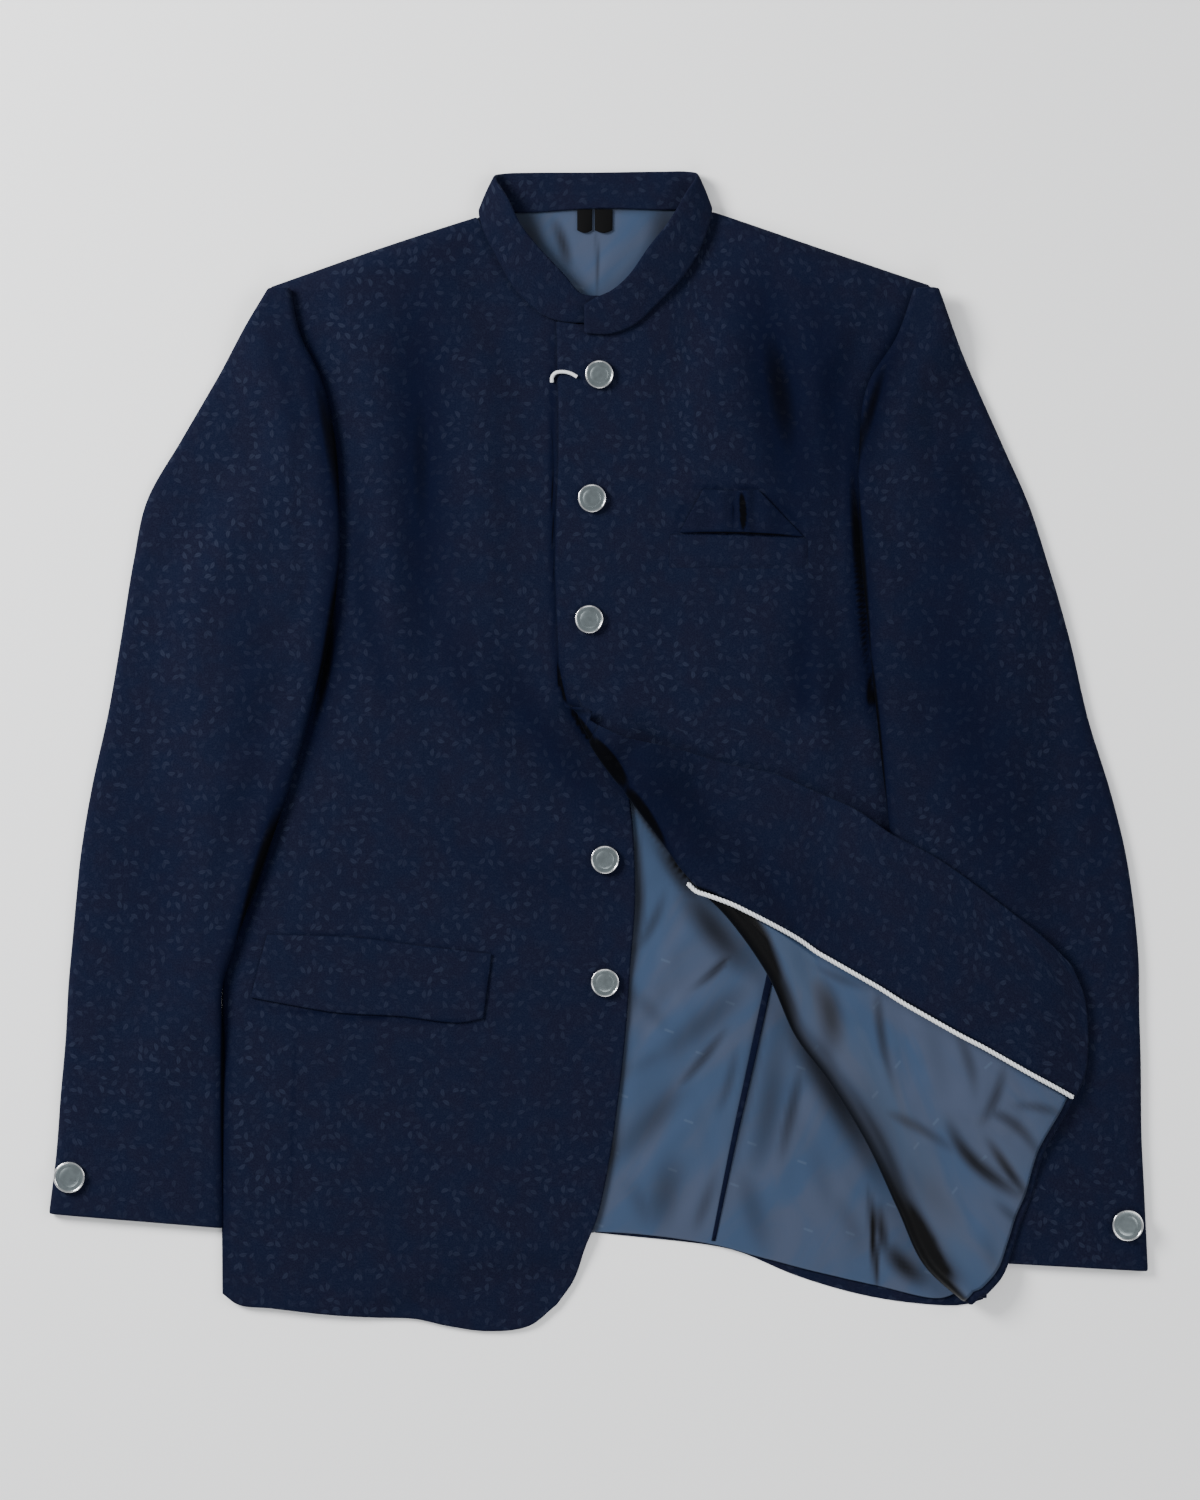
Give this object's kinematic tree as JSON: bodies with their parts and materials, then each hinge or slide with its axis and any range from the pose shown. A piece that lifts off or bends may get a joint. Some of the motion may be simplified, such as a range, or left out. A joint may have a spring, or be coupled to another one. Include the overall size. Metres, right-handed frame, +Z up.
{
  "type": "bandhgala jacket",
  "caption": "Dark stand-collar jacket laid flat on its back, buttoned at the chest, one front turned back over a sleeve to show its facing and lining.",
  "frame": {"origin": "middle of the bounding box at the surface that the jacket lies on", "axes": "+Z up, away from the surface; +Y along the back towards the collar; +X towards the wearer's left sleeve"},
  "size_m": [0.765, 0.8078, 0.0272],
  "materials": {
    "wool": "dark navy wool-like cloth with small tone-on-tone leaf weave",
    "satin": "blue-grey satin lining",
    "cord": "twisted pale cord",
    "metal": "satin metal with a bright rim",
    "label": "plain woven label"
  },
  "bodies": {
    "root": {"back_right": "wool", "back_left": "wool", "back_lining": "satin", "vent_strip": "wool", "right_front": "wool", "pocket_flap": "wool", "left_front": "wool", "left_facing": "wool", "left_front_lining": "satin", "piping": "cord", "right_sleeve_top": "wool", "right_sleeve_under": "wool", "left_sleeve_top": "wool", "left_sleeve_under": "wool", "collar": "wool", "chest_welt": "wool", "pocket_tongue": "wool", "front_button_1": "metal", "front_button_2": "metal", "front_button_3": "metal", "front_button_4": "metal", "front_button_5": "metal", "front_button_6": "metal", "right_cuff_button": "metal", "left_cuff_button": "metal", "top_loop": "cord", "neck_label": "label"}
  },
  "joints": []
}
